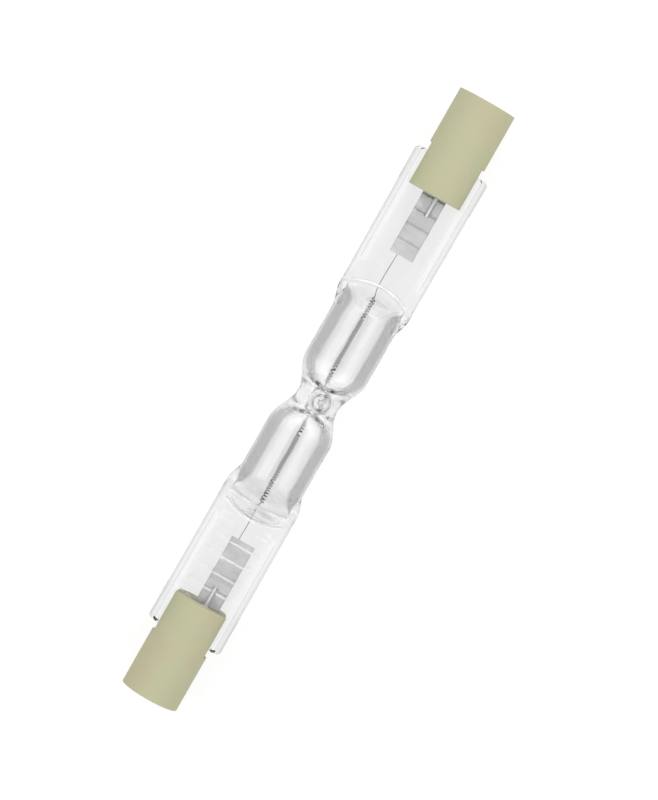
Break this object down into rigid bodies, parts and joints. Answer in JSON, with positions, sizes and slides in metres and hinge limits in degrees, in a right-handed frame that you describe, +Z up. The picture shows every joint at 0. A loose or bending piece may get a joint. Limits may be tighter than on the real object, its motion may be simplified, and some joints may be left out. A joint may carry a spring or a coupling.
{
  "type": "double-ended linear halogen lamp bulb",
  "caption": "Slim double-ended halogen bulb: waisted quartz tube with flat press seals, coiled filament, foil strips and slotted ceramic end caps with recessed contacts.",
  "frame": {"origin": "centre of the bounding box's base: under the middle of the lamp, on the plane that its quartz chambers lie on", "axes": "+X along the lamp towards end a, +Y across the flats of the press seals, +Z up along the exhaust tip; the lamp's axis is 3.95 mm above the origin"},
  "size_m": [0.0782, 0.0094, 0.0086],
  "materials": {
    "quartz": "clear fused quartz, fire polished",
    "tungsten": "drawn and coiled tungsten wire, dull dark grey",
    "molybdenum": "rolled molybdenum foil, bright grey",
    "lead_wire": "drawn molybdenum wire, satin grey",
    "ceramic": "unglazed pressed ceramic, matt cream",
    "contact_metal": "nickel plated, satin",
    "cement": "dry, chalky lamp cement"
  },
  "bodies": {
    "root": {"quartz_envelope": "quartz", "filament": "tungsten", "molybdenum_foil_a": "molybdenum", "molybdenum_foil_b": "molybdenum", "outer_lead_a": "lead_wire", "outer_lead_b": "lead_wire", "ceramic_cap_a": "ceramic", "ceramic_cap_b": "ceramic", "contact_button_a": "contact_metal", "contact_button_b": "contact_metal", "cap_cement_a": "cement", "cap_cement_b": "cement"}
  },
  "joints": []
}
